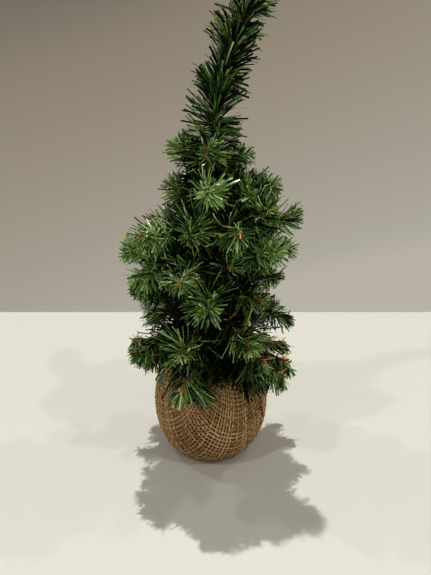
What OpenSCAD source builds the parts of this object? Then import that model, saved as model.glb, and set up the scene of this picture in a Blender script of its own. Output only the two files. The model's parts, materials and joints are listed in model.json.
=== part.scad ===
// Artificial tabletop tree: a bendable wire tree with needle sleeves, standing in a weighted
// base wrapped in burlap. Millimetres, +Z up, front at -Y.
// The origin is at the middle of the flat underside, where the tree stands on a table.

/* [Burlap base] */
// Width of the wrapped base at its belly
belly_d = 98; // [84:1:120]
// Height of the belly above the table
belly_h = 42; // [36:1:50]
// Width of the flat that it stands on
foot_d = 52; // [40:1:64]
// Height where the cloth turns in toward the trunk
shoulder_h = 86; // [76:1:88]
// Width of the base at that height
shoulder_d = 60; // [44:1:72]
// Thickness of the burlap
burlap_t = 1.4; // [1:0.1:2.4]
// Rise of the gathered neck above that height
neck_rise = 5; // [4:1:10]
// Thickness of the cloth gathers in the neck
gather_t = 2.8; // [2:0.1:4]
// Reach of the loose ruff above the tie
ruff_reach = 2.6; // [1:0.1:4]
// Height of that ruff
ruff_h = 2.4; // [1.5:0.1:4]
// Thickness of the neck twine
twine_d = 1.7; // [1.2:0.1:2]
// Turns of the neck twine
twine_turns = 3; // [1:1:3]

/* [Weight] */
// Height of the cast weight's flat top
weight_h = 60; // [50:1:70]
// Wall of the plastic liner that it is cast in
liner_t = 1.2; // [0.8:0.1:2]
// How far the liner stands above the weight
liner_rim = 6; // [2:1:10]
// Depth of the cement below the trunk's foot
cement_floor = 8; // [5:1:15]

/* [Trunk] */
// Thickness of the wire core
core_d = 3.2; // [2.4:0.1:5]
// Thickness of the brown tape over it
tape_t = 2.6; // [1.5:0.1:3]
// How far the trunk stands above the middle of the top tier
trunk_end = 2; // [2:1:10]
// Thickness of the tape turn that binds a tier of branches
binding_t = 1.4; // [1:0.1:2]
// Height of that turn
binding_h = 9; // [7:0.5:10]

/* [Branches] */
// Height of the lowest tier above the ruff
ruff_to_tier = 6.2; // [5.5:0.1:15]
// Thickness of a branch's twisted wire
stem_d = 1.6; // [1.2:0.1:1.8]
// Thickness of a needle sleeve at its fullest
sleeve_d = 10; // [6:0.5:10.5]
// Thickness of a needle sleeve at its outer end
sleeve_end_d = 5; // [3:0.5:6]
// Bare wire between the root and the sleeve
sleeve_start = 12; // [10:1:16]
// Bare wire cut end beyond the sleeve
cut_end = 1.5; // [0.5:0.5:3]

/* [Leader] */
// Length of the leader's lower stretch
leader_lower_l = 30; // [28:1:34]
// Length of the bent upper stretch, along its curve
leader_upper_l = 113; // [80:1:130]
// Radius of its curve
leader_bend_r = 235; // [180:5:400]
// Thickness of its twisted wire
leader_d = 2.2; // [1.6:0.1:3]
// Thickness of the lower needle sleeve
leader_sleeve_d = 12; // [8:0.5:13]
// Thickness of the upper needle sleeve
leader_top_sleeve_d = 14; // [8:0.5:16]

/* [Hidden] */
// Tiers from the bottom: height above the lowest tier, then each branch as
// [angle from the front toward +X, rise above level, length]
TIERS = [
    [0, [[-95, -12, 62], [-18, -18, 64], [30, 0, 72], [48, -12, 70],
         [63, -15, 64], [105, -15, 64], [155, -15, 66], [-150, -15, 66]]],
    [21, [[-42, -14, 76], [-16, -8, 66], [22, -8, 68],
          [130, -12, 64], [175, -10, 64], [-125, -10, 64]]],
    [45, [[-72, -6, 58], [0, 0, 70], [42, -10, 50], [80, -28, 62],
          [115, -6, 60], [165, -6, 62], [-155, -8, 60], [-105, -8, 60]]],
    [71, [[-48, -14, 64], [-16, -8, 64], [14, -6, 52], [43, 8, 60], [92, -5, 56],
          [140, -4, 58], [-175, -4, 58], [-130, -4, 58], [-88, -8, 54]]],
    [93, [[-64, -22, 66], [-42, -4, 62], [-12, -6, 60], [17, 2, 60], [36, 10, 60],
          [56, 8, 62], [115, 0, 52], [168, 0, 52], [-140, 0, 52]]],
    [115, [[0, 0, 54], [27, 2, 54], [43, 4, 56],
           [95, 8, 44], [155, 10, 42], [-128, 10, 36]]],
    [133, [[-2, 14, 36], [120, 24, 32], [-125, 24, 32]]],
];

BASE_NODES = ["plastic_liner", "base_weight", "burlap_wrap", "neck_twine"];
TRUNK_NODES = ["trunk_core", "trunk_tape", "branch_bindings"];
LEADER_NODES = ["leader_lower_stem", "leader_lower_needles",
                "leader_upper_stem", "leader_upper_needles"];

fit = 0.3;            // gap between a piece and the moving piece that it carries
cast_gap = 0.1;       // gap where the cement has shrunk from what it was cast against
wire_gap = 0.05;      // gap between a stem and its needle sleeve
stagger = 2.5;        // branch roots sit this far above and below the middle of their tier
root_l = 2.6;         // length of the bent cross-wire at a stem's root
root_extra = 0.2;     // how much thicker that cross-wire is than the stem
sleeve_start_d = 3.2; // thickness of a needle sleeve where it starts
sleeve_full = 0.8;    // share of the stem's length at which the sleeve is fullest
leader_foot_tilt = 5; // lean of the lower stretch toward +X
leader_kink_tilt = 10;// lean of the upper stretch where it starts
leader_bare = 5;      // bare wire on the leader above each bend
core_top_bare = 2;    // bare core above the tape
$fn = 48;

belly_r = belly_d / 2;
foot_r = foot_d / 2;
shoulder_r = shoulder_d / 2;
trunk_r = core_d / 2 + tape_t;
neck_in_r = trunk_r + fit;
neck_r = neck_in_r + gather_t;
tie_pitch = twine_d + cast_gap;
tie_h = twine_turns * tie_pitch;
neck_h = shoulder_h + neck_rise;
tier_first_h = neck_h + tie_h + ruff_h + ruff_to_tier;
trunk_h = tier_first_h + TIERS[len(TIERS) - 1][0] + trunk_end;
liner_inset = burlap_t + fit;
weight_inset = liner_inset + liner_t + cast_gap;
binding_r = trunk_r + cast_gap + binding_t;
root_d = stem_d + root_extra;
root_r = binding_r + fit + root_d / 2;
leader_root_d = leader_d + root_extra;
leader_foot = [0, 0, trunk_h + fit + leader_root_d / 2];
leader_kink = leader_foot + leader_lower_l * [sin(leader_foot_tilt), 0, cos(leader_foot_tilt)];
leader_turn = leader_upper_l / leader_bend_r * 180 / PI;

function branches_of(tier) = TIERS[tier][1];
function branch_name(tier, i) = str("tier_", tier + 1, "_branch_", i + 1);
function tier_h(tier) = tier_first_h + TIERS[tier][0];
function root_h(tier, i) = tier_h(tier) + (i % 2 == 0 ? stagger : -stagger);
function reversed(points) = [for (i = [len(points) - 1:-1:0]) points[i]];

// Outline of the base from the edge of its foot to its belly, set in by an even distance
function bowl(inset) = [for (t = [0:15:90])
    [foot_r + (belly_r - foot_r - inset) * sin(t), belly_h - (belly_h - inset) * cos(t)]];

// The same from the belly up to the shoulder
function shoulder(inset) = [for (t = [15:15:90])
    [shoulder_r + (belly_r - shoulder_r - inset) * cos(t),
     belly_h + (shoulder_h - belly_h - inset) * sin(t)]];

// Half section of the whole base, set in by an even distance
module base_section(inset) {
    polygon(concat([[0, inset]], bowl(inset), shoulder(inset), [[0, shoulder_h - inset]]));
}

// Half section of what the base holds, up to a height
module filled_section(inset, top) {
    intersection() {
        base_section(inset);
        square([belly_d, top]);
    }
}

module plastic_liner() {
    color("whitesmoke")
    rotate_extrude() difference() {
        filled_section(liner_inset, weight_h + liner_rim);
        base_section(liner_inset + liner_t);
    }
}

module base_weight() {
    color("gainsboro")
    difference() {
        rotate_extrude() filled_section(weight_inset, weight_h);
        translate([0, 0, cement_floor]) cylinder(h = weight_h, d = core_d + 2 * wire_gap);
    }
}

// One square of cloth, pulled up all round and gathered at the trunk
module burlap_wrap() {
    tie_top = neck_h + tie_h;
    ruff_top = tie_top + ruff_h;
    outside = concat([[0, 0]], bowl(0), shoulder(0),
                     [[neck_r, neck_h], [neck_r, tie_top], [neck_r + ruff_reach, ruff_top]]);
    inside = concat([[0, burlap_t]], bowl(burlap_t), shoulder(burlap_t),
                    [[neck_in_r, neck_h - burlap_t], [neck_in_r, tie_top],
                     [neck_r + ruff_reach - burlap_t, ruff_top]]);
    color("peru")
    rotate_extrude() polygon(concat(outside, reversed(inside)));
}

module neck_twine() {
    color("tan") {
        for (turn = [0:twine_turns - 1])
            translate([0, 0, neck_h + (turn + 0.5) * tie_pitch])
                rotate_extrude() translate([neck_r + cast_gap + twine_d / 2, 0]) circle(d = twine_d);
        translate([0, -neck_r - 2 * cast_gap - 2 * twine_d, neck_h + tie_h / 2]) sphere(d = 2 * twine_d);
    }
}

module trunk_core() {
    color("dimgray")
    translate([0, 0, cement_floor + cast_gap])
        cylinder(h = trunk_h - cement_floor - cast_gap, d = core_d);
}

module trunk_tape() {
    foot = weight_h + cast_gap;
    color("saddlebrown")
    translate([0, 0, foot]) difference() {
        cylinder(h = trunk_h - core_top_bare - foot, r = trunk_r);
        translate([0, 0, -1]) cylinder(h = trunk_h, d = core_d + 2 * wire_gap);
    }
}

module branch_bindings() {
    color("sienna")
    for (tier = [0:len(TIERS) - 1])
        translate([0, 0, tier_h(tier) - binding_h / 2]) difference() {
            cylinder(h = min(binding_h, trunk_h - tier_h(tier) + binding_h / 2), r = binding_r);
            translate([0, 0, -1]) cylinder(h = binding_h + 2, r = trunk_r + cast_gap);
        }
}

// A needle sleeve round a straight stem along +Z, fullest near its outer end
module needle_sleeve(start, length, d_start, d_full, d_end, bore) {
    full = start + (length - start) * sleeve_full;
    rotate_extrude()
        polygon([[bore / 2, start], [d_start / 2, start], [d_full / 2, full],
                 [d_end / 2, length], [bore / 2, length]]);
}

// The cross-wire that a stem turns on where it leaves what holds it
module root_wire(d, along = [0, 90, 0]) {
    rotate(along) cylinder(h = root_l, d = d, center = true);
}

module branch(tier, i) {
    shape = branches_of(tier)[i];
    length = shape[2];
    translate([0, 0, root_h(tier, i)]) rotate([0, 0, shape[0]]) translate([0, -root_r, 0]) {
        color("darkolivegreen") {
            root_wire(root_d);
            rotate([90 - shape[1], 0, 0]) cylinder(h = length, d = stem_d);
        }
        color("darkgreen")
        rotate([90 - shape[1], 0, 0])
            needle_sleeve(sleeve_start, length - cut_end, sleeve_start_d, sleeve_d,
                          sleeve_end_d, stem_d + 2 * wire_gap);
    }
}

module leader_lower_stem() {
    color("darkolivegreen")
    translate(leader_foot) {
        root_wire(leader_root_d, [90, 0, 0]);
        rotate([0, leader_foot_tilt, 0])
            cylinder(h = leader_lower_l - leader_root_d / 2 - fit, d = leader_d);
    }
}

module leader_lower_needles() {
    color("darkgreen")
    translate(leader_foot) rotate([0, leader_foot_tilt, 0])
        needle_sleeve(leader_bare, leader_lower_l - leader_bare, leader_sleeve_d - sleeve_end_d,
                      leader_sleeve_d, sleeve_end_d, leader_d + 2 * wire_gap);
}

// Part of the leader's curve, from one angle of lean to another
module along_curve(from, to) {
    middle = leader_kink + leader_bend_r * [cos(leader_kink_tilt), 0, -sin(leader_kink_tilt)];
    translate(middle) rotate([90, 0, 0]) rotate([0, 0, 180 - to])
        rotate_extrude(angle = to - from) translate([leader_bend_r, 0]) children();
}

module leader_upper_stem() {
    color("darkolivegreen") {
        translate(leader_kink) root_wire(leader_root_d, [90, 0, 0]);
        along_curve(leader_kink_tilt, leader_kink_tilt + leader_turn) circle(d = leader_d);
    }
}

module leader_upper_needles() {
    bare = leader_bare / leader_upper_l * leader_turn;
    end = cut_end / leader_upper_l * leader_turn;
    color("darkgreen")
    along_curve(leader_kink_tilt + bare, leader_kink_tilt + leader_turn - end) difference() {
        circle(d = leader_top_sleeve_d);
        circle(d = leader_d + 2 * wire_gap);
    }
}

plastic_liner();
base_weight();
burlap_wrap();
neck_twine();
trunk_core();
trunk_tape();
branch_bindings();
leader_lower_stem();
leader_lower_needles();
leader_upper_stem();
leader_upper_needles();
for (tier = [0:len(TIERS) - 1], i = [0:len(branches_of(tier)) - 1])
    branch(tier, i);
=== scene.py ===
# An artificial tabletop tree: bendable branches with flat needles, on a base wrapped in burlap.
# Metres, +Z up, front at -Y. Branches, leader, trunk and twine take their places from the packed
# frame; the sack's outline repeats the sizes of its part.
import json
import math

import bpy
import numpy as np
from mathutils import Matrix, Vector


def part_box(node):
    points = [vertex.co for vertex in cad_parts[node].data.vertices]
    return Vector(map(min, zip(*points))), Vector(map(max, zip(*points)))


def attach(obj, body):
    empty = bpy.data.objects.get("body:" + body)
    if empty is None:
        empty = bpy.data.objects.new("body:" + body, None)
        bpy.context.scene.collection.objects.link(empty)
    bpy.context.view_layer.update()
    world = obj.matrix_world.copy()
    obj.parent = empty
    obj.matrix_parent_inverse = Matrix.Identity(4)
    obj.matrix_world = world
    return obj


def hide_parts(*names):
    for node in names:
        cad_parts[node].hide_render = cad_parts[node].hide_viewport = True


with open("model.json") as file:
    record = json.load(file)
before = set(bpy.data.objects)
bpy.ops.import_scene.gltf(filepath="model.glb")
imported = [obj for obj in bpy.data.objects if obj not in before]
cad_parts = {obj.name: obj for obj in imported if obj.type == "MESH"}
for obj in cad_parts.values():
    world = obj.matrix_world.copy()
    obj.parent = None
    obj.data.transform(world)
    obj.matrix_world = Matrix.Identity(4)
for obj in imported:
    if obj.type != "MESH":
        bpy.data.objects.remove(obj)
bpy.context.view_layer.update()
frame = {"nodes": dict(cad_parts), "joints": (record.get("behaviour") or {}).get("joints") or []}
MM = 0.001
TINY = 1e-9  # keeps a division by a length safe
NODES = frame["nodes"]
JOINTS = {j["child"]: j for j in frame["joints"]}
rng = np.random.default_rng(11)


# ---------------------------------------------------------------- camera

CAMERA_AT = (0.004, -0.340, 0.240)
CAMERA_DOWN = 16.0  # degrees below the horizon
CAMERA_LENS = 27.05  # mm, on a sensor 36 mm high


def add_camera():
    data = bpy.data.cameras.new("camera")
    data.lens = CAMERA_LENS
    data.clip_start = 0.01
    camera = bpy.data.objects.new("camera", data)
    camera.location = CAMERA_AT
    camera.rotation_euler = (math.radians(90 - CAMERA_DOWN), 0, 0)
    bpy.context.scene.collection.objects.link(camera)
    bpy.context.scene.camera = camera


# ---------------------------------------------------------------- materials

def plain(name, colour, roughness, specular=0.5):
    """A Principled material whose colour is even, as dyed plastic film is."""
    m = bpy.data.materials.new(name)
    m.use_nodes = True
    s = m.node_tree.nodes["Principled BSDF"]
    s.inputs["Base Color"].default_value = (*colour, 1)
    s.inputs["Roughness"].default_value = roughness
    s.inputs["Specular IOR Level"].default_value = specular
    return m


def node(m, kind, **values):
    n = m.node_tree.nodes.new(kind)
    for key, value in values.items():
        if key in n.inputs:
            n.inputs[key].default_value = value
        else:
            setattr(n, key, value)
    return n


def link(m, a, b):
    m.node_tree.links.new(a, b)


def noise(m, scale, detail):
    """A noise over the piece's own coordinates."""
    where = node(m, "ShaderNodeTexCoord")
    texture = node(m, "ShaderNodeTexNoise", Scale=scale, Detail=detail)
    link(m, where.outputs["Object"], texture.inputs["Vector"])
    return texture.outputs["Fac"]


def ramp(m, value, stops):
    """Colours over a value; stops are (place, colour)."""
    r = node(m, "ShaderNodeValToRGB")
    elements = r.color_ramp.elements
    while len(elements) < len(stops):
        elements.new(0.5)
    for element, (place, colour) in zip(elements, stops):
        element.position = place
        element.color = (*colour, 1)
    link(m, value, r.inputs["Fac"])
    return r.outputs["Color"]


def bump(m, value, strength, distance):
    b = node(m, "ShaderNodeBump", Strength=strength, Distance=distance)
    link(m, value, b.inputs["Height"])
    link(m, b.outputs["Normal"], m.node_tree.nodes["Principled BSDF"].inputs["Normal"])


def colour_from(m, colour):
    link(m, colour, m.node_tree.nodes["Principled BSDF"].inputs["Base Color"])


def mottled(name, dark, light, scale, roughness, bump_scale, bump_depth):
    """A material that wanders between two colours, with a fine grain."""
    m = plain(name, dark, roughness)
    colour_from(m, ramp(m, noise(m, scale, 4.0), [(0.32, dark), (0.68, light)]))
    bump(m, noise(m, bump_scale, 3.0), 0.6, bump_depth)
    return m


# The tape's shades from the edge of one turn to the edge of the next
TAPE_SHADES = [(0.0, (0.035, 0.017, 0.008)), (0.25, (0.10, 0.052, 0.024)), (1.0, (0.15, 0.082, 0.04))]


def wound_tape(name):
    """Brown paper tape wound up the trunk in overlapping turns."""
    m = plain(name, TAPE_SHADES[1][1], 0.62)
    where = node(m, "ShaderNodeTexCoord")
    wave = node(m, "ShaderNodeTexWave", Scale=42.0, Distortion=1.2, Detail=2.0,
                bands_direction="Z", wave_profile="SAW")
    link(m, where.outputs["Object"], wave.inputs["Vector"])
    colour_from(m, ramp(m, wave.outputs["Fac"], TAPE_SHADES))
    bump(m, wave.outputs["Fac"], 0.7, 0.4 * MM)
    return m


# Film greens from near-black to pale. The near-black one is painted shade for needles inside the tree;
# the pale one is partly the film's own light green and partly a painted highlight.
GREENS = [
    plain("needle_near_black_shade", (0.004, 0.009, 0.002), 0.42, 0.25),
    plain("needle_dark", (0.030, 0.068, 0.011), 0.36, 0.6),
    plain("needle_mid", (0.105, 0.240, 0.032), 0.34, 0.8),
    plain("needle_olive", (0.235, 0.365, 0.055), 0.34, 0.9),
    plain("needle_cool", (0.110, 0.260, 0.105), 0.26, 1.0),
    plain("needle_pale_and_sheen", (0.480, 0.690, 0.330), 0.24, 1.0),
]
# Brown and tan film for the bits; the tan is partly their own colour and partly a painted highlight on
# them
BROWNS = [
    plain("needle_brown", (0.280, 0.140, 0.046), 0.42),
    plain("tan_and_glint_film", (0.700, 0.440, 0.210), 0.38),
]
NEEDLE_FILM = GREENS + BROWNS
BROWN, TAN_GLINT = len(GREENS), len(GREENS) + 1
GREEN_SHARES = np.array([0.30, 0.22, 0.20, 0.11, 0.08, 0.09])
GREEN_SHIFT = np.array([-0.9, -0.5, 0.1, 0.7, 0.3, 1.0])  # how each share answers to lightness, which is raised and lowered as painted light and shade


# ---------------------------------------------------------------- mesh building

def unit(v):
    return v / np.maximum(np.linalg.norm(v, axis=-1, keepdims=True), 1e-12)


def across(directions):
    """Two unit vectors square to each direction."""
    upright = np.abs(directions[..., 2:3]) > 0.9
    helper = np.where(upright, [1.0, 0.0, 0.0], [0.0, 0.0, 1.0])
    a = unit(np.cross(directions, helper))
    return a, np.cross(directions, a)


def piece(name, points, faces, materials, body, slots=None, smooth=False):
    """A mesh piece that rides on a body. slots gives each face its place in materials."""
    mesh = bpy.data.meshes.new(name)
    mesh.from_pydata(points, [], faces)
    for m in materials:
        mesh.materials.append(m)
    if slots is not None:
        mesh.polygons.foreach_set("material_index", np.asarray(slots, np.int32))
    mesh.polygons.foreach_set("use_smooth", np.full(len(mesh.polygons), smooth))
    mesh.update()
    o = bpy.data.objects.new(name, mesh)
    bpy.context.scene.collection.objects.link(o)
    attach(o, body)
    return o


def joined(parts):
    """Several (points, faces, slots) as one."""
    points, faces, slots, first = [], [], [], 0
    for p, f, s in parts:
        points.append(p)
        faces.append(f + first)
        slots.append(s)
        first += len(p)
    return np.vstack(points), np.vstack(faces), np.concatenate(slots)


def tube(line, normals, half_width, half_height, sides, slot=0):
    """A closed tube along a line, with an oval section that lies flat against the normals."""
    n = len(line)
    tangents = unit(np.gradient(line, axis=0))
    side = unit(np.cross(normals, tangents))
    out = np.cross(tangents, side)
    turn = np.arange(sides) * 2 * math.pi / sides
    wide = np.broadcast_to(half_width, n)[:, None, None] * np.cos(turn)[None, :, None]
    high = np.broadcast_to(half_height, n)[:, None, None] * np.sin(turn)[None, :, None]
    points = line[:, None] + wide * side[:, None] + high * out[:, None]
    ends = np.array([line[0], line[-1]])
    k = np.arange(sides)
    ring = np.arange(n - 1)[:, None] * sides
    walls = np.stack([ring + k, ring + (k + 1) % sides, ring + sides + (k + 1) % sides,
                      ring + sides + k], -1).reshape(-1, 4)
    first, last = n * sides, n * sides + 1
    pairs = np.arange(0, sides, 2)
    start = np.stack([np.full(len(pairs), first), (pairs + 2) % sides, pairs + 1, pairs], -1)
    top = (n - 1) * sides
    end = np.stack([np.full(len(pairs), last), top + pairs, top + pairs + 1,
                    top + (pairs + 2) % sides], -1)
    faces = np.vstack([walls, start, end])
    return np.vstack([points.reshape(-1, 3), ends]), faces, np.full(len(faces), slot)


# ---------------------------------------------------------------- needles

FILM_T = 0.16 * MM
NEEDLE_RINGS = 5
NEEDLE_OFF = 0.9 * MM          # how far a needle on the sack keeps its middle off the outline
NEEDLE_CURLS = [1, 1, 1, 2.5]  # one needle in four is bent this much more
SIDE_BEND = 0.06               # how far needles bend edgeways, as a share of their length
NEEDLE_TWIST = 0.45            # how far they turn about themselves, in radians
FINE_WIDTH = (0.5, 0.75)       # of the narrow needles, in mm
FULL_WIDTH = 1.05              # of the others, in mm
FULL_SPREAD = (0.82, 1.2)      # from the narrowest to the widest of those, over that
TIP_GAP = 0.5 * MM             # bare wire at a shoot's tip
BRUSH_PITCH = 9 * MM           # the strips are held in a twist, so they turn about the wire
BRUSH_SPREAD = 0.80            # how far each strays from that turn, in radians
PRESSED = 0.38                 # how hard groups of needles have been pushed aside
PRESSED_MOST = 1.4             # and the most, over that
GROUP_L = 9 * MM               # how much of a wire one group takes


def strips(roots, directions, lengths, widths, curl, sweep, slots):
    """Closed strips of film with square-cut ends, each bent along sweep and turned about itself."""
    n = len(roots)
    a, b = across(directions)
    roll = rng.uniform(0, 2 * math.pi, n)[:, None]
    side = np.cos(roll) * a + np.sin(roll) * b
    face = np.cross(directions, side)
    t = np.linspace(0, 1, NEEDLE_RINGS)[None, :, None]
    curl = curl * rng.choice(NEEDLE_CURLS, n)
    bend = face * curl[:, None] + a * rng.normal(0, SIDE_BEND, (n, 1)) + sweep
    lengths = lengths / np.sqrt(1 + (bend ** 2).sum(1))  # so that bending makes no needle longer
    course = t * directions[:, None] + t ** 2 * bend[:, None]
    line = laid_on_sack(roots[:, None] + lengths[:, None, None] * course)
    twist = rng.normal(0, NEEDLE_TWIST, (n, 1, 1)) * t
    wide = (np.cos(twist) * side[:, None] + np.sin(twist) * face[:, None]) * widths[:, None, None] / 2
    thick = (np.cos(twist) * face[:, None] - np.sin(twist) * side[:, None]) * FILM_T / 2
    corners = np.stack([line - wide - thick, line + wide - thick,
                        line + wide + thick, line - wide + thick], 2)
    k = np.arange(4)
    ring = np.arange(NEEDLE_RINGS - 1)[:, None] * 4
    walls = np.stack([ring + k, ring + (k + 1) % 4, ring + 4 + (k + 1) % 4, ring + 4 + k], -1)
    last = (NEEDLE_RINGS - 1) * 4
    one = np.vstack([walls.reshape(-1, 4), [[3, 2, 1, 0]], [[last, last + 1, last + 2, last + 3]]])
    faces = (np.arange(n)[:, None, None] * NEEDLE_RINGS * 4 + one).reshape(-1, 4)
    return corners.reshape(-1, 3), faces, np.repeat(slots, len(one))


def along(path, places):
    """Points and tangents of a path at distances along it."""
    steps = np.linalg.norm(np.diff(path, axis=0), axis=1)
    reached = np.concatenate([[0], np.cumsum(steps)])
    points = np.stack([np.interp(places, reached, path[:, i]) for i in range(3)], -1)
    tangents = unit(np.gradient(path, axis=0))
    return points, unit(np.stack([np.interp(places, reached, tangents[:, i]) for i in range(3)], -1))


def length_of(path):
    return np.linalg.norm(np.diff(path, axis=0), axis=1).sum()


def brush(path, places, lean, lengths, widths, slots, curl=0.07, hang=0.0, swept=0.5):
    """Needles held at places along a path, each leaning from it by an angle in degrees."""
    n = len(places)
    points, tangents = along(path, places)
    a, b = across(tangents)
    around = places / BRUSH_PITCH * 2 * math.pi + rng.integers(0, 2, n) * math.pi
    turn = (around + rng.uniform(0, 6) + rng.normal(0, BRUSH_SPREAD, n))[:, None]
    out = np.cos(turn) * a + np.sin(turn) * b
    lean = np.radians(lean)[:, None]
    push = pressed(path, places) + [0.0, 0.0, -hang]
    directions = unit(np.cos(lean) * tangents + np.sin(lean) * out + push)
    sweep = swept * pressed(path, places)
    return strips(points, directions, lengths, widths, rng.normal(0, curl, n), sweep, slots)


def pressed(path, places):
    """The way in which neighbouring needles have been pushed together, along a path."""
    length = length_of(path)
    knots = np.linspace(0, length, 2 + int(length / GROUP_L))
    push = PRESSED * np.clip(rng.normal(size=(len(knots), 3)), -PRESSED_MOST, PRESSED_MOST)
    return np.stack([np.interp(places, knots, push[:, i]) for i in range(3)], -1)


def greens(n, lightness):
    """Film colours for n needles; lightness, one for all or one each, shifts the mix."""
    shift = np.broadcast_to(lightness, n)[:, None] * GREEN_SHIFT
    return (np.log(GREEN_SHARES) + shift + rng.gumbel(size=(n, len(GREENS)))).argmax(1)


def needle_widths(n, fine_share, full=FULL_WIDTH):
    fine = rng.random(n) < fine_share
    return np.where(fine, rng.uniform(*FINE_WIDTH, n), full * rng.uniform(*FULL_SPREAD, n)) * MM


def cut_bits(path, places, lean, lengths, widths, film, curl=0.2):
    """Brown bits of film at places along a path; lean in degrees and both sizes in mm are ranges."""
    n = len(places)
    return brush(path, places, rng.uniform(*lean, n), rng.uniform(*lengths, n) * MM,
                 rng.uniform(*widths, n) * MM, rng.choice(film, n), curl)


# A shoot's needles, mostly by distance from its tip in mm
SHOOT_DENSITY = 8.2               # needles on each mm of its wire
SHOOT_BARE = 7                    # mm of its root without needles
SHOOT_SIZE = ([0, 5, 12, 26, 50], [0.32, 0.46, 0.66, 0.92, 0.8])
# painted light and shade: needles near a shoot's tip get lighter film, those toward its root darker
SHOOT_PAINTED_LIGHT = ([0, 14, 40], [0.65, 0.30, -2.4])
SHOOT_LEAN = ([0, 5, 14], [52, 60, 58])
LEAN_SPREAD, LEAST_LEAN = 23, 26  # degrees
TIP_OPEN = (0.55, 1.08)           # how far the needles at a tip stand open
SIZE_SPREAD = (0.75, 1.10)        # from the shortest to the longest, over their usual length
SHOOT_SWEPT = (0.35, 1.25)        # how far a shoot's needles are bent the way they are pushed
# What each unit of hang adds: mm of needle, mm of wire that is covered, share of length at the root
HANG_REACH, HANG_COVER, HANG_SIZE = 3, 3, 0.2


def green_needles(path, reach, lightness, hang, fine_share):
    """The needles of one shoot: short at its tip and long toward its root; lighter at its tip as
    painted light and darker toward its root, inside the tree, as painted shade.
    """
    length = length_of(path)
    n = int((length - SHOOT_BARE * MM) / MM * SHOOT_DENSITY)
    place = np.sort(rng.uniform((SHOOT_BARE - HANG_COVER * hang) * MM, length - TIP_GAP, n))
    to_tip = (length - place) / MM
    at, share = SHOOT_SIZE
    size = reach * np.interp(to_tip, at, share[:-1] + [share[-1] + HANG_SIZE * hang])
    opened = rng.uniform(*TIP_OPEN)
    at, (end, near_end, further) = SHOOT_LEAN
    lean = np.interp(to_tip, at, [end * opened, near_end * opened, further])
    lean = np.maximum(lean + rng.normal(0, LEAN_SPREAD, n), LEAST_LEAN)
    size = size * rng.uniform(*SIZE_SPREAD, n)
    widths = needle_widths(n, fine_share)
    film = greens(n, lightness + np.interp(to_tip, *SHOOT_PAINTED_LIGHT))
    return brush(path, place, lean, size, widths, film, curl=0.26, hang=hang,
                 swept=rng.uniform(*SHOOT_SWEPT))


def stray_needles(path, hang):
    """Two narrow needles that stand out of the brush toward its root."""
    n = 2
    return brush(path, rng.uniform(0.15, 0.5, n) * length_of(path), rng.uniform(50, 85, n),
                 rng.uniform(16, 22, n) * MM, np.full(n, 0.7 * MM), greens(n, -0.3),
                 curl=0.3, hang=0.5 * hang)


def shoot_needles(path, reach, lightness, hang, fine_share):
    """Everything on one shoot: green needles, strays, and brown bits that thicken at its tip."""
    length = length_of(path)
    parts = [green_needles(path, reach, lightness, hang, fine_share), stray_needles(path, hang)]
    spread = rng.uniform(0.35, 0.95, int(length / MM * 0.30)) * length
    parts.append(cut_bits(path, spread, lean=(40, 85), lengths=(5, 10), widths=(0.5, 0.9),
                          film=[BROWN, BROWN, TAN_GLINT]))
    at_tip = length - rng.uniform(0, 8, rng.integers(18, 34)) * MM
    parts.append(cut_bits(path, at_tip, lean=(8, 95), lengths=(1.5, 4.8), widths=(0.6, 1.2),
                          film=[BROWN, TAN_GLINT, TAN_GLINT], curl=0.3))
    return joined(parts)


# ---------------------------------------------------------------- wires and branches

STRAND_SIDES = 6         # of the tubes that wires, plies and yarns are
STRAND_STEP = 1.3 * MM   # between the rings of a twisted wire
STRAND_R = 0.52          # of the pair's radius: a little over half, so that the two touch
CROSS_HALF = 1.3 * MM    # half the length of a cross-wire
CROSS_END = 0.2 * MM     # how much of it each rounded end takes
CUT_L = 2.2 * MM         # length of a shoot's bright cut end


def twisted_wire(path, radius, pitch):
    """Two wires twisted together, as thick together as one rod of that radius."""
    length = length_of(path)
    place = np.linspace(0, length, max(6, int(length / STRAND_STEP)))
    points, tangents = along(path, place)
    a, b = across(tangents)
    parts = []
    for start in (0, math.pi):
        turn = (start + place / pitch * 2 * math.pi)[:, None]
        out = np.cos(turn) * a + np.sin(turn) * b
        size = radius * STRAND_R
        parts.append(tube(points + out * radius * 0.5, out, size, size, STRAND_SIDES))
    return parts


def cross_wire(middle, axis, radius):
    """The short bent wire that a shoot turns on, with its ends rounded."""
    at = np.array([-CROSS_HALF, -CROSS_HALF + CROSS_END, CROSS_HALF - CROSS_END, CROSS_HALF])
    size = radius * np.array([0.8, 1.0, 1.0, 0.8])
    _, normal = across(axis)
    return tube(middle + at[:, None] * axis, np.repeat(normal[None], 4, 0), size, size, 12)


def cut_end(path, radius):
    """The bright cut end of the twisted wire."""
    length = length_of(path)
    points, tangents = along(path, np.linspace(length - CUT_L, length, 4))
    _, normal = across(tangents)
    parts = []
    for side in (-1, 1):
        offset = side * normal * radius * 0.5
        size = np.array([0.56, 0.56, 0.56, 0.42]) * radius
        parts.append(tube(points + offset, normal, size, size, STRAND_SIDES, CUT))
    return parts


def far_end(name, root):
    """Middle of the end of a node that is farthest from its root."""
    co = np.array([v.co for v in NODES[name].data.vertices])
    away = np.linalg.norm(co - root, axis=1)
    return co[away > away.max() - 0.02 * MM].mean(0)


STEM_FINISH = [
    mottled("stem_lacquer", (0.020, 0.030, 0.012), (0.060, 0.058, 0.022), scale=900,
            roughness=0.4, bump_scale=2500, bump_depth=0.05 * MM),
    mottled("stem_cut", (0.20, 0.10, 0.035), (0.42, 0.27, 0.13), scale=1500,
            roughness=0.45, bump_scale=3000, bump_depth=0.05 * MM),
]
CUT = 1                                   # place of the cut ends' finish in that list

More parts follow.
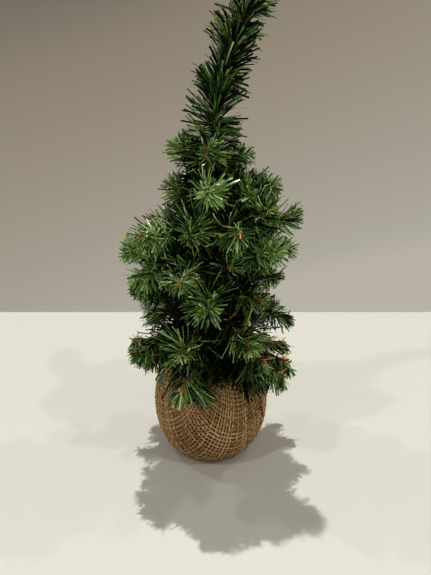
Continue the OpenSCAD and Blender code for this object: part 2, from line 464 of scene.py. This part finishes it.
STEM_R, STEM_PITCH, STEM_CROSS_R = 0.8 * MM, 5.5 * MM, 0.9 * MM
SAG, SAG_SPREAD = 1.2 * MM, 1.5           # of a branch's middle; the spread is in mm
REACH = (20.5, 26.0)                      # needle length on a branch, in mm
HANG = {"1": 2.0, "2": 0.6}               # how much the needles of the lowest tiers hang down
FINE = {"1": 0.25, "2": 0.35, "3": 0.45}  # share of narrow needles in each of the lowest tiers
FINE_ABOVE = 0.55                         # and in every tier above them


def add_branch(joint, name):
    """The wire and the needles of one branch, from its root to its tip."""
    root = np.array(joint["pos_m"], float)
    axis = np.array(joint["axis"], float)
    tip = far_end(name, root)
    t = np.linspace(0, 1, 14)[:, None]
    sag = rng.normal(0, SAG_SPREAD, 3) * MM + [0, 0, -SAG]
    path = root + t * (tip - root) + np.sin(math.pi * t) * sag
    wires = twisted_wire(path, STEM_R, STEM_PITCH) + cut_end(path, STEM_R)
    wires.append(cross_wire(root, axis, STEM_CROSS_R))
    points, faces, slots = joined(wires)
    piece(name + "_stem", points, faces, STEM_FINISH, joint["child"], slots, True)
    tier = name.split("_")[1]
    hang = HANG.get(tier, 0.0)
    reach = (rng.uniform(*REACH) + HANG_REACH * hang) * MM
    # each branch's film is lighter or darker at random, and darker on the lowest, hanging tiers as
    # painted shade under the others
    lightness = rng.normal(0.55 - 0.15 * hang, 0.55)
    fine_share = FINE.get(tier, FINE_ABOVE)
    points, faces, slots = shoot_needles(path, reach, lightness, hang, fine_share)
    needles = piece(name + "_needles", points, faces, NEEDLE_FILM, joint["child"], slots)
    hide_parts(name)


# ---------------------------------------------------------------- leader

LEADER_BEND_R = 0.235
LEADER_WIRE_R = 1.1 * MM
LEADER_PITCH = 7 * MM
LEADER_CROSS_R = LEADER_WIRE_R + 0.1 * MM
LEADER_LOW = (26.5, 58.0)     # needle length in mm and lean in degrees at its foot
LEADER_TOP = (22.0, 43.0)     # and toward its tip
LEADER_CHANGE = 60 * MM       # the stretch of the upper part in which they change
LEADER_DENSITY = 9.5          # needles on each mm of its wire
LEADER_FROM = 1 * MM          # where on each stretch they begin
LEADER_FLARE = 34             # degrees by which the lowest stand out, over the trunk's top
LEADER_FLARE_L = 7 * MM       # how fast that fades up the wire
WIDE, WIDE_FINE = 1.3, 0.20   # full width in mm and narrow share, on the leader and the trunk


def leader_arc(start, end, radius):
    """The arc between two points that bulges up and to -X, in the plane of the two and Z."""
    chord = end - start
    middle = (start + end) / 2
    half = np.linalg.norm(chord) / 2
    down = unit(np.cross(unit(chord), [0.0, -1.0, 0.0]))
    if down[2] > 0:
        down = -down
    centre = middle + down * math.sqrt(radius ** 2 - half ** 2)
    a, b = start - centre, end - centre
    angle = math.acos(np.dot(a, b) / radius ** 2)
    t = np.linspace(0, 1, 30)[:, None]
    return centre + (np.sin((1 - t) * angle) * a + np.sin(t * angle) * b) / math.sin(angle)


def leader_needles(path, top):
    """Everything on one stretch of the leader; top is true for the upper one."""
    length = length_of(path)
    n = int((length - LEADER_FROM) / MM * LEADER_DENSITY)
    place = np.sort(rng.uniform(LEADER_FROM, length - TIP_GAP, n))
    up = np.clip(place / LEADER_CHANGE, 0, 1) if top else np.zeros(n)
    size = (LEADER_LOW[0] + up * (LEADER_TOP[0] - LEADER_LOW[0])) * MM * rng.uniform(0.68, 1.06, n)
    lean = LEADER_LOW[1] + up * (LEADER_TOP[1] - LEADER_LOW[1]) + rng.normal(0, 13, n)
    if top:
        size = size * np.interp((length - place) / MM, [0, 12, 30], [0.62, 0.9, 1.0])
    else:
        lean = lean + LEADER_FLARE * np.exp(-place / LEADER_FLARE_L)
    widths = needle_widths(n, WIDE_FINE, WIDE)
    parts = [brush(path, place, lean, size, widths, greens(n, -0.5), curl=0.08, swept=0.2)]
    spread = rng.uniform(LEADER_FROM, length, int(n * 0.07))
    parts.append(cut_bits(path, spread, lean=(35, 75), lengths=(5, 10), widths=(0.6, 1.1),
                          film=[BROWN, TAN_GLINT]))
    if top:
        at_tip = length - rng.uniform(0, 4, 14) * MM
        parts.append(cut_bits(path, at_tip, lean=(10, 70), lengths=(4, 8), widths=(0.6, 1.0),
                              film=[BROWN, TAN_GLINT]))
    return joined(parts)


def add_leader():
    foot = np.array(JOINTS["leader_lower"]["pos_m"], float)
    kink = np.array(JOINTS["leader_upper"]["pos_m"], float)
    tip = far_end("leader_upper_stem", kink)
    paths = {"leader_lower": np.linspace(foot, kink, 8),
             "leader_upper": leader_arc(kink, tip, LEADER_BEND_R)}
    for body, path in paths.items():
        top = body == "leader_upper"
        wires = twisted_wire(path, LEADER_WIRE_R, LEADER_PITCH)
        wires.append(cross_wire(path[0], np.array([0.0, 1.0, 0.0]), LEADER_CROSS_R))
        if top:
            wires += cut_end(path, LEADER_WIRE_R)
        points, faces, slots = joined(wires)
        stem = piece(body + "_wire", points, faces, STEM_FINISH, body, slots, True)
        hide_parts(body + "_stem")
        points, faces, slots = leader_needles(path, top)
        film = piece(body + "_film", points, faces, NEEDLE_FILM, body, slots)
        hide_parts(body + "_needles")


# Longest trunk needles, in mm, by share of the height between the lowest and the highest
TRUNK_REACH = ([0, 0.25, 0.7, 1], [30, 44, 36, 20])
TRUNK_NEEDLES = 2300
SHADE_FILM = [0, 0, 0, 1]  # painted shade: three in four are of the deepest, near-black green, the rest of the dark one
FRINGE_NEEDLES = 420
FRINGE_REACH = (36, 64)   # mm
FRINGE_HIGH = 12          # mm of the trunk that holds them


def add_trunk_needles():
    """Near-black needles on the trunk between the tiers, painted shade in the tree's hollows, and a
    fringe at its foot, over the sack.
    """
    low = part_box("branch_bindings")[0].z
    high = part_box("trunk_tape")[1].z
    path = np.array([[0, 0, low], [0, 0, high]])
    n = TRUNK_NEEDLES
    place = rng.uniform(0, high - low, n)
    reach = np.interp(place / (high - low), *TRUNK_REACH) * MM
    inner = brush(path, place, rng.uniform(45, 90, n), reach * rng.uniform(0.5, 1.0, n),
                  needle_widths(n, WIDE_FINE, WIDE), rng.choice(SHADE_FILM, n))
    n = FRINGE_NEEDLES
    place = rng.uniform(0, FRINGE_HIGH, n) * MM
    fringe = brush(path, place, rng.uniform(60, 100, n), rng.uniform(*FRINGE_REACH, n) * MM,
                   needle_widths(n, 0.3), greens(n, -0.3), curl=0.15, hang=0.7)
    points, faces, slots = joined([inner, fringe])
    piece("trunk_needles", points, faces, NEEDLE_FILM, "root", slots)


# ---------------------------------------------------------------- burlap

FOOT_R, BELLY_R, BELLY_Z = 26 * MM, 49 * MM, 42 * MM
SHOULDER_R, SHOULDER_Z = 30 * MM, 86 * MM
NECK_R, NECK_Z, TIE_TOP_Z = 7.3 * MM, 91 * MM, 96.4 * MM
RUFF_R, RUFF_Z = 9.9 * MM, 98.8 * MM
YARN_PITCH = 3.7 * MM
YARN_IN = 0.95 * MM    # how far the yarns' middles lie inside the outline
CLOTH_IN = 0.25 * MM   # and the sheet behind them inside those
CLOTH_T = 0.2 * MM     # thickness of that sheet
CLOTH_R = 157 * MM     # of the flat round of cloth
CLOTH_TURN = math.radians(30)
RELAX_ROUNDS = 260
SHORTEST_STEP = 0.95   # between two crossings, over the pitch; the longest is the pitch itself
DIAGONALS = (0.75, 1.9)  # shortest and longest across one mesh of the weave, over the pitch


def sack_outline():
    """Half outline of the wrapped base from the middle of its foot to the tip of its ruff."""
    t = np.linspace(0, math.pi / 2, 16)
    low = np.stack([FOOT_R + (BELLY_R - FOOT_R) * np.sin(t), BELLY_Z - BELLY_Z * np.cos(t)], -1)
    high = np.stack([SHOULDER_R + (BELLY_R - SHOULDER_R) * np.cos(t),
                     BELLY_Z + (SHOULDER_Z - BELLY_Z) * np.sin(t)], -1)
    neck = [[NECK_R, NECK_Z], [NECK_R, TIE_TOP_Z], [RUFF_R, RUFF_Z]]
    return np.vstack([[[0, 0]], low, high[1:], neck])


OUTLINE = sack_outline()
RUN = np.diff(OUTLINE, axis=0)
RUN_L = np.linalg.norm(RUN, axis=1)
REACHED = np.concatenate([[0], np.cumsum(RUN_L)])
# How far the cloth may stand off the outline, by distance along it
LOOSE = ([0, 26 * MM, 78 * MM, 115 * MM, 140 * MM, 153 * MM],
         [0, 0, 0.6 * MM, 3 * MM, 4 * MM, 1.0 * MM])


def on_outline(s):
    return np.interp(s, REACHED, OUTLINE[:, 0]), np.interp(s, REACHED, OUTLINE[:, 1])


def to_outline(rz):
    """For points in the half plane: the outline's nearest points and normals, how far off they
    are, and how far along it."""
    away = rz[:, None] - OUTLINE[:-1]
    share = np.clip((away * RUN).sum(2) / RUN_L ** 2, 0, 1)
    off = away - share[..., None] * RUN
    k = (off ** 2).sum(2).argmin(1)
    i = np.arange(len(rz))
    near = OUTLINE[k] + share[i, k][:, None] * RUN[k]
    normal = np.stack([RUN[k, 1], -RUN[k, 0]], -1) / RUN_L[k][:, None]
    return near, normal, ((rz - near) * normal).sum(1), REACHED[k] + share[i, k] * RUN_L[k]


def laid_on_sack(points):
    """The same points, with those that would be inside the sack moved out onto its cloth."""
    flat_r = np.hypot(points[..., 0], points[..., 1])
    beside = (points[..., 2] < NECK_Z) & (flat_r < BELLY_R + NEEDLE_OFF)
    low = points[beside]
    rz = np.stack([flat_r[beside] + TINY, low[:, 2]], -1)
    near, normal, off, _ = to_outline(rz)
    moved = np.where((off < NEEDLE_OFF)[:, None], near + normal * NEEDLE_OFF, rz)
    low[:, :2] *= (moved[:, 0] / rz[:, 0])[:, None]
    low[:, 2] = moved[:, 1]
    points[beside] = low
    return points


def outward_of(points):
    """The outline's normals at points in the round, and how far along it they are."""
    flat_r = np.hypot(points[:, 0], points[:, 1]) + TINY
    _, normal, _, far = to_outline(np.stack([flat_r, points[:, 2]], -1))
    return np.stack([points[:, 0] / flat_r * normal[:, 0], points[:, 1] / flat_r * normal[:, 0],
                     normal[:, 1]], -1), far


def pull(a, b, used, shortest, longest, firm, soft):
    """Moves the ends of edges a-b toward their limits: firm where too long, soft where too short."""
    d = b - a
    now = np.linalg.norm(d, axis=-1) + TINY
    wanted = np.clip(now, shortest, longest)
    share = 0.5 * np.where(now > longest, firm, soft) * used * (now - wanted) / now
    a += share[..., None] * d
    b -= share[..., None] * d


def both_ways(place, used):
    """The weave's crossings and which of them the cloth has, by warp yarns and by weft yarns."""
    return (place, used), (place.swapaxes(0, 1), used.T)


def keep_yarn_lengths(place, used):
    for grid, mask in both_ways(place, used):
        for first in (0, 1):
            a, b = grid[first:-1:2], grid[first + 1::2]
            both = mask[first:-1:2] & mask[first + 1::2]
            pull(a, b, both, SHORTEST_STEP * YARN_PITCH, YARN_PITCH, 0.9, 0.1)


def keep_weave_open(place, used):
    """Limits the weave's diagonals, so that it shears but never closes up."""
    ways = ((place[:-1, :-1], place[1:, 1:], used[:-1, :-1] & used[1:, 1:]),
            (place[1:, :-1], place[:-1, 1:], used[1:, :-1] & used[:-1, 1:]))
    for a, b, both in ways:
        pull(a, b, both, DIAGONALS[0] * YARN_PITCH, DIAGONALS[1] * YARN_PITCH, 0.25, 0.25)


def smooth_yarns(place, used):
    for grid, mask in both_ways(place, used):
        inner = (mask[:-2] & mask[1:-1] & mask[2:])[..., None]
        grid[1:-1] += 0.25 * inner * ((grid[:-2] + grid[2:]) / 2 - grid[1:-1])


def keep_on_sack(place, used):
    """Moves the crossings back to within the cloth's looseness of the outline."""
    seen = place[used]
    flat_r = np.hypot(seen[:, 0], seen[:, 1]) + TINY
    near, normal, off, far = to_outline(np.stack([flat_r, seen[:, 2]], -1))
    kept = near + normal * np.clip(off, 0, np.interp(far, *LOOSE))[:, None]
    seen[:, :2] *= (kept[:, 0] / flat_r)[:, None]
    seen[:, 2] = kept[:, 1]
    place[used] = seen


def relaxed_cloth():
    """The crossings of a round of open weave that is drawn up over the sack."""
    n = int(CLOTH_R / YARN_PITCH)
    steps = np.arange(-n, n + 1) * YARN_PITCH
    x, y = np.meshgrid(steps, steps, indexing="ij")
    out = np.hypot(x, y)
    used = out <= CLOTH_R
    angle = np.arctan2(y, x) + CLOTH_TURN
    r, z = on_outline(np.minimum(out, REACHED[-1]))
    place = np.stack([r * np.sin(angle), -r * np.cos(angle), z], -1)
    for _ in range(RELAX_ROUNDS):
        keep_yarn_lengths(place, used)
        keep_weave_open(place, used)
        smooth_yarns(place, used)
        keep_on_sack(place, used)
    return place, used


PLEATS = 46  # gathers round the neck
# How deep they are, by distance along the outline
PLEAT_DEPTH = ([0, 112 * MM, 119 * MM, 127 * MM, 138 * MM, 143 * MM, 147.5 * MM, 157 * MM],
               [0, 0, 6 * MM, 16 * MM, 17 * MM, 8 * MM, 1.6 * MM, 1.4 * MM])
# Folds down the side: angle from the front, lowest, highest, rise of its lips, their width in mm
FOLDS = [(math.radians(57), 24 * MM, 84 * MM, 2.6 * MM, 1.5),
         (math.radians(-13), 8 * MM, 84 * MM, 1.0 * MM, 1.6),
         (math.radians(171), 20 * MM, 84 * MM, 2.2 * MM, 1.6),
         (math.radians(-118), 20 * MM, 84 * MM, 1.6 * MM, 1.6)]
GROOVE = 0.3 * MM               # how deep a fold's own line is sunk
FOLD_SWAY = 0.05                # how far its line sways to the sides, in radians
FOLD_FADE = (12 * MM, 14 * MM)  # heights over which it comes in at the bottom and goes at the top


def fold_depth(angle, flat_r, z):
    """How far the folds down the side sink the cloth; their lips rise, so it is mostly negative."""
    depth = np.zeros(len(z))
    for at, low, high, out, wide in FOLDS:
        away = (angle - at - FOLD_SWAY * np.sin(z / (12 * MM)) + math.pi) % (2 * math.pi) - math.pi
        side = away * flat_r / MM
        shown = np.clip((z - low) / FOLD_FADE[0], 0, 1) * np.clip((high - z) / FOLD_FADE[1], 0, 1)
        lips = np.exp(-((side - 1.9 * wide) / wide) ** 2)
        lips += 0.5 * np.exp(-((side + 2.2 * wide) / (1.4 * wide)) ** 2)
        depth += shown * (GROOVE * np.exp(-(side / wide) ** 2) - out * lips)
    return depth


def folded(points):
    """The points moved into the gathers and folds and under the outline, and their normals."""
    flat_r = np.hypot(points[:, 0], points[:, 1]) + TINY
    angle = np.arctan2(points[:, 0], -points[:, 1])
    outward, far = outward_of(points)
    wander = 0.25 * np.sin(3 * angle + 1) + 0.15 * np.sin(7 * angle)  # makes the gathers uneven
    wave = 0.5 - 0.5 * np.cos(PLEATS * (angle + 0.06 * wander))
    depth = np.interp(far, *PLEAT_DEPTH) * wave + fold_depth(angle, flat_r, points[:, 2]) + YARN_IN
    return points - depth[:, None] * outward, outward


CLOTH_HUB_R = 1.5 * MM  # of the sheet's middle, which is a fan of triangles


def add_ground_cloth():
    """The cloth as one sheet behind its yarns, dark with painted shade."""
    rows, columns = 72, 480
    s = np.linspace(CLOTH_HUB_R, CLOTH_R, rows)
    angle = np.arange(columns) * 2 * math.pi / columns
    r, z = on_outline(np.minimum(s, REACHED[-1]))
    grid = np.stack([r[:, None] * np.sin(angle), -r[:, None] * np.cos(angle),
                     np.repeat(z[:, None], columns, 1)], -1)
    points, outward = folded(grid.reshape(-1, 3))
    points -= CLOTH_IN * outward
    points = np.vstack([points, [[0, 0, YARN_IN + CLOTH_IN]]])
    k = np.arange(columns)
    ring = np.arange(rows - 1)[:, None] * columns
    quads = np.stack([ring + k, ring + (k + 1) % columns, ring + columns + (k + 1) % columns,
                      ring + columns + k], -1).reshape(-1, 4)
    centre = np.stack([np.full(columns, rows * columns), (k + 1) % columns, k], -1)
    faces = quads.tolist() + centre.tolist()
    cloth = piece("burlap_shadow_sheet", points, faces, [painted_shade_cloth()], "root", None, True)
    layers = cloth.modifiers.new("thickness", "SOLIDIFY")
    layers.thickness = CLOTH_T
    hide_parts("burlap_wrap")
    return cloth


def painted_shade_cloth():
    """The sheet seen between the yarns, near-black brown as painted shade in the holes of the weave."""
    return mottled("burlap_painted_shade", (0.016, 0.006, 0.0015), (0.046, 0.019, 0.005), scale=500,
                   roughness=0.9, bump_scale=900, bump_depth=0.2 * MM)


YARN_TONES = [((0.325, 0.200, 0.088), (0.590, 0.400, 0.225)),
              ((0.415, 0.265, 0.135), (0.700, 0.495, 0.300)),
              ((0.205, 0.112, 0.040), (0.440, 0.280, 0.140))]
YARN_SHARES = [0.4, 0.3, 0.3]  # of those tones
YARN_HALF = 0.82 * MM          # half the width of a yarn with room beside it
YARN_ROOM = 0.315              # and of one without, as a share of the way to the next
YARN_FLAT = 0.62               # a yarn's thickness over its width
YARN_LIFT = 0.8                # its rise over a neighbour, over half its thickness
YARN_WANDER = 0.16 * MM        # how far its crossings stray


def yarn_materials():
    return [mottled(f"jute_{i + 1}", dark, light, scale=650, roughness=0.88, bump_scale=2600,
                    bump_depth=0.25 * MM)
            for i, (dark, light) in enumerate(YARN_TONES)]


def yarn(crossings, over, apart):
    """One yarn through its crossings, over and under in turn; apart is how far off its neighbour is."""
    n = len(crossings)
    width = np.minimum(YARN_HALF, YARN_ROOM * apart)
    slub = 1 + 0.10 * rng.normal()
    slub = slub + 0.14 * np.sin(np.arange(n) * rng.uniform(0.3, 0.9) + rng.uniform(0, 6))
    width = width * np.clip(slub, 0.7, 1.3)
    outward, _ = outward_of(crossings)
    lift = np.where(over, 1.0, -1.0)[:, None] * (YARN_FLAT * width * YARN_LIFT)[:, None]
    line = np.empty((2 * n - 1, 3))
    line[0::2] = crossings + lift * outward + rng.normal(0, YARN_WANDER, crossings.shape)
    line[1::2] = (crossings[:-1] + crossings[1:]) / 2
    normals = np.repeat(outward, 2, 0)[:-1]
    wide = np.interp(np.arange(len(line)) / 2, np.arange(n), width)
    line[:, 2] = np.maximum(line[:, 2], wide * YARN_FLAT)  # those under the foot lie on the table
    return tube(line, normals, wide, wide * YARN_FLAT, STRAND_SIDES, rng.choice(3, p=YARN_SHARES))


def yarns_of(grid, mask, way, rows):
    """The yarns that run along some rows of the weave; way is 0 for warp and 1 for weft."""
    parts = []
    for i in rows:
        kept = np.flatnonzero(mask[i])
        if len(kept) < 4:
            continue  # too short a yarn to be drawn
        beside = min(i + 1, len(mask) - 2)
        apart = np.linalg.norm(grid[beside, kept] - grid[beside - 1, kept], axis=1)
        parts.append(yarn(grid[i, kept], (kept + i + way) % 2 == 0, apart))
    return joined(parts)


def add_yarns(place, used):
    """Every yarn of the weave, as four pieces."""
    crossings = place.copy()
    crossings[used] = folded(place[used])[0]
    finishes = yarn_materials()
    n = len(used)
    pieces = []
    for way, (grid, mask) in enumerate(both_ways(crossings, used)):
        for half, rows in enumerate((range(0, n // 2), range(n // 2, n))):
            points, faces, slots = yarns_of(grid, mask, way, rows)
            name = f"burlap_{('warp', 'weft')[way]}_{half + 1}"
            pieces.append(piece(name, points, faces, finishes, "root", slots, True))
    return pieces


# ---------------------------------------------------------------- twine, trunk and base

TWINE_R, TAIL_R = 0.85 * MM, 0.7 * MM  # of the turns, and of the knot and its tails
TWINE_PITCH = 3.2 * MM                 # of its two plies
TWINE_TURNS = 3


def twine_turns(radius):
    """The twine's way round the neck."""
    t = np.linspace(0, TWINE_TURNS, 150)
    z = np.interp(t, [0, TWINE_TURNS], [NECK_Z + 0.9 * MM, TIE_TOP_Z - 0.9 * MM])
    angle = t * 2 * math.pi
    return np.stack([radius * np.sin(angle), -radius * np.cos(angle), z], -1)


def twine_knot():
    """The twine's way through an overhand knot, in mm."""
    t = np.linspace(0, 2 * math.pi, 60)
    return np.stack([(np.sin(t) + 2 * np.sin(2 * t)) * 0.5, -np.sin(3 * t) * 0.35 + 0.2,
                     (np.cos(t) - 2 * np.cos(2 * t)) * 0.5], -1)


def twine_tail(side):
    """One loose end of the twine, from the knot down to one side."""
    u = np.linspace(0, 1, 14)[:, None]
    return np.array([side * 9, -1.2, -7]) * MM * u + [0, 0, 3 * MM] * np.sin(math.pi * u)


def add_twine():
    """Two-ply jute twine wound round the gathered neck, tied at the front."""
    low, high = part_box("neck_twine")
    middle = np.array([0, low.y + 1.7 * MM, (NECK_Z + TIE_TOP_Z) / 2])
    parts = twisted_wire(twine_turns(high.x - TWINE_R), TWINE_R, TWINE_PITCH)
    parts += twisted_wire(middle + twine_knot() * MM, TAIL_R, TWINE_PITCH)
    for side in (-1, 1):
        parts += twisted_wire(middle + twine_tail(side), TAIL_R, TWINE_PITCH)
    points, faces, slots = joined(parts)
    finish = mottled("twine_jute", (0.20, 0.125, 0.06), (0.42, 0.29, 0.16), scale=700,
                     roughness=0.85, bump_scale=2600, bump_depth=0.3 * MM)
    twine = piece("twine_turns", points, faces, [finish], "root", slots, True)
    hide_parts("neck_twine")


def finish_node(name, m):
    data = NODES[name].data
    data.materials.clear()
    data.materials.append(m)


def finish_inner_nodes():
    """Finishes for the CAD nodes that are shown as they are."""
    tape = wound_tape("trunk_tape_wound")
    finish_node("trunk_tape", tape)
    finish_node("branch_bindings", tape)
    steel = mottled("core_steel", (0.16, 0.15, 0.14), (0.34, 0.33, 0.31), scale=800,
                    roughness=0.45, bump_scale=2000, bump_depth=0.05 * MM)
    cement = mottled("cast_cement", (0.42, 0.40, 0.37), (0.60, 0.58, 0.54), scale=120,
                     roughness=0.9, bump_scale=700, bump_depth=0.3 * MM)
    liner = mottled("liner_film", (0.62, 0.60, 0.54), (0.70, 0.68, 0.62), scale=60,
                    roughness=0.5, bump_scale=400, bump_depth=0.05 * MM)
    finish_node("trunk_core", steel)
    finish_node("base_weight", cement)
    finish_node("plastic_liner", liner)


# ---------------------------------------------------------------- stage

FLOOR_BACK = 0.347
FLOOR_FRONT, FLOOR_SIDE = -1.6, 1.6


def add_floor():
    points = [(-FLOOR_SIDE, FLOOR_FRONT, 0), (FLOOR_SIDE, FLOOR_FRONT, 0),
              (FLOOR_SIDE, FLOOR_BACK, 0), (-FLOOR_SIDE, FLOOR_BACK, 0)]
    mesh = bpy.data.meshes.new("floor")
    mesh.from_pydata(points, [], [(0, 1, 2, 3)])
    mesh.materials.append(plain("floor_paint", (0.70, 0.695, 0.665), 0.5, 0.3))
    floor = bpy.data.objects.new("floor", mesh)
    bpy.context.scene.collection.objects.link(floor)


LAMP_COLOUR = (1.0, 0.985, 0.93)


def add_lamp(name, toward, strength, spread):
    """A distant ceiling lamp; toward points from the tree to it, spread is its width in degrees."""
    data = bpy.data.lights.new(name, "SUN")
    data.energy = strength
    data.angle = math.radians(spread)
    data.color = LAMP_COLOUR
    lamp = bpy.data.objects.new(name, data)
    lamp.location = 2 * Vector(toward)
    lamp.rotation_euler = (-Vector(toward)).to_track_quat("-Z", "Y").to_euler()
    bpy.context.scene.collection.objects.link(lamp)


# The room's light by height of direction, from straight down to straight up
ROOM = [(0.340, (0.425, 0.400, 0.345)), (0.370, (0.375, 0.355, 0.305)),
        (0.504, (0.315, 0.282, 0.232)), (0.645, (0.247, 0.214, 0.165)),
        (0.720, (0.150, 0.140, 0.120)), (1.000, (0.150, 0.140, 0.120))]
ROOM_TILT = -0.16  # how much darker the room is toward -X
FRONT_GLOW = 0.25  # how bright the lit side of the room is, in front of the tree
GLOW_COLOUR = (1.0, 0.97, 0.90)


def dot_with(m, vector, direction):
    n = node(m, "ShaderNodeVectorMath", operation="DOT_PRODUCT")
    n.inputs[1].default_value = direction
    link(m, vector, n.inputs[0])
    return n.outputs["Value"]


def maths(m, operation, value, other):
    n = node(m, "ShaderNodeMath", operation=operation)
    n.inputs[1].default_value = other
    link(m, value, n.inputs[0])
    return n.outputs["Value"]


def add_room():
    world = bpy.data.worlds.new("room")
    world.use_nodes = True
    where = node(world, "ShaderNodeTexCoord").outputs["Generated"]
    height = maths(world, "ADD", dot_with(world, where, (ROOM_TILT, 0, 0.5)), 0.5)
    back = world.node_tree.nodes["Background"]
    link(world, ramp(world, height, ROOM), back.inputs["Color"])
    glow = node(world, "ShaderNodeBackground", Color=(*GLOW_COLOUR, 1))
    lit = maths(world, "MAXIMUM", dot_with(world, where, (0, -FRONT_GLOW, 0)), 0.0)
    link(world, lit, glow.inputs["Strength"])
    both = node(world, "ShaderNodeAddShader")
    link(world, back.outputs["Background"], both.inputs[0])
    link(world, glow.outputs["Background"], both.inputs[1])
    link(world, both.outputs["Shader"], world.node_tree.nodes["World Output"].inputs["Surface"])
    bpy.context.scene.world = world


# Ceiling lamps: name, way from the tree to it, strength, width in degrees
LAMPS = [("key", (-0.06, 0.25, 1.0), 1.65, 0.8),
         ("right_back", (0.72, 0.29, 1.0), 0.22, 1.2),
         ("right_front", (0.63, -0.50, 1.0), 0.30, 1.2),
         ("left_back", (-0.72, 0.29, 1.0), 0.22, 1.2),
         ("left_front", (-0.63, -0.50, 1.0), 0.30, 1.2)]


def add_lights():
    for lamp in LAMPS:
        add_lamp(*lamp)
    add_room()
    bpy.context.scene.view_settings.view_transform = "Standard"
    bpy.context.scene.view_settings.look = "Medium High Contrast"


# ---------------------------------------------------------------- the tree

add_camera()
add_floor()
add_lights()
place, used = relaxed_cloth()
cloth = add_ground_cloth()
yarns = add_yarns(place, used)
add_twine()
finish_inner_nodes()
add_trunk_needles()
for joint in frame["joints"]:
    if joint["child"].startswith("tier_"):
        add_branch(joint, joint["child"].replace("_shoot_", "_branch_"))
add_leader()
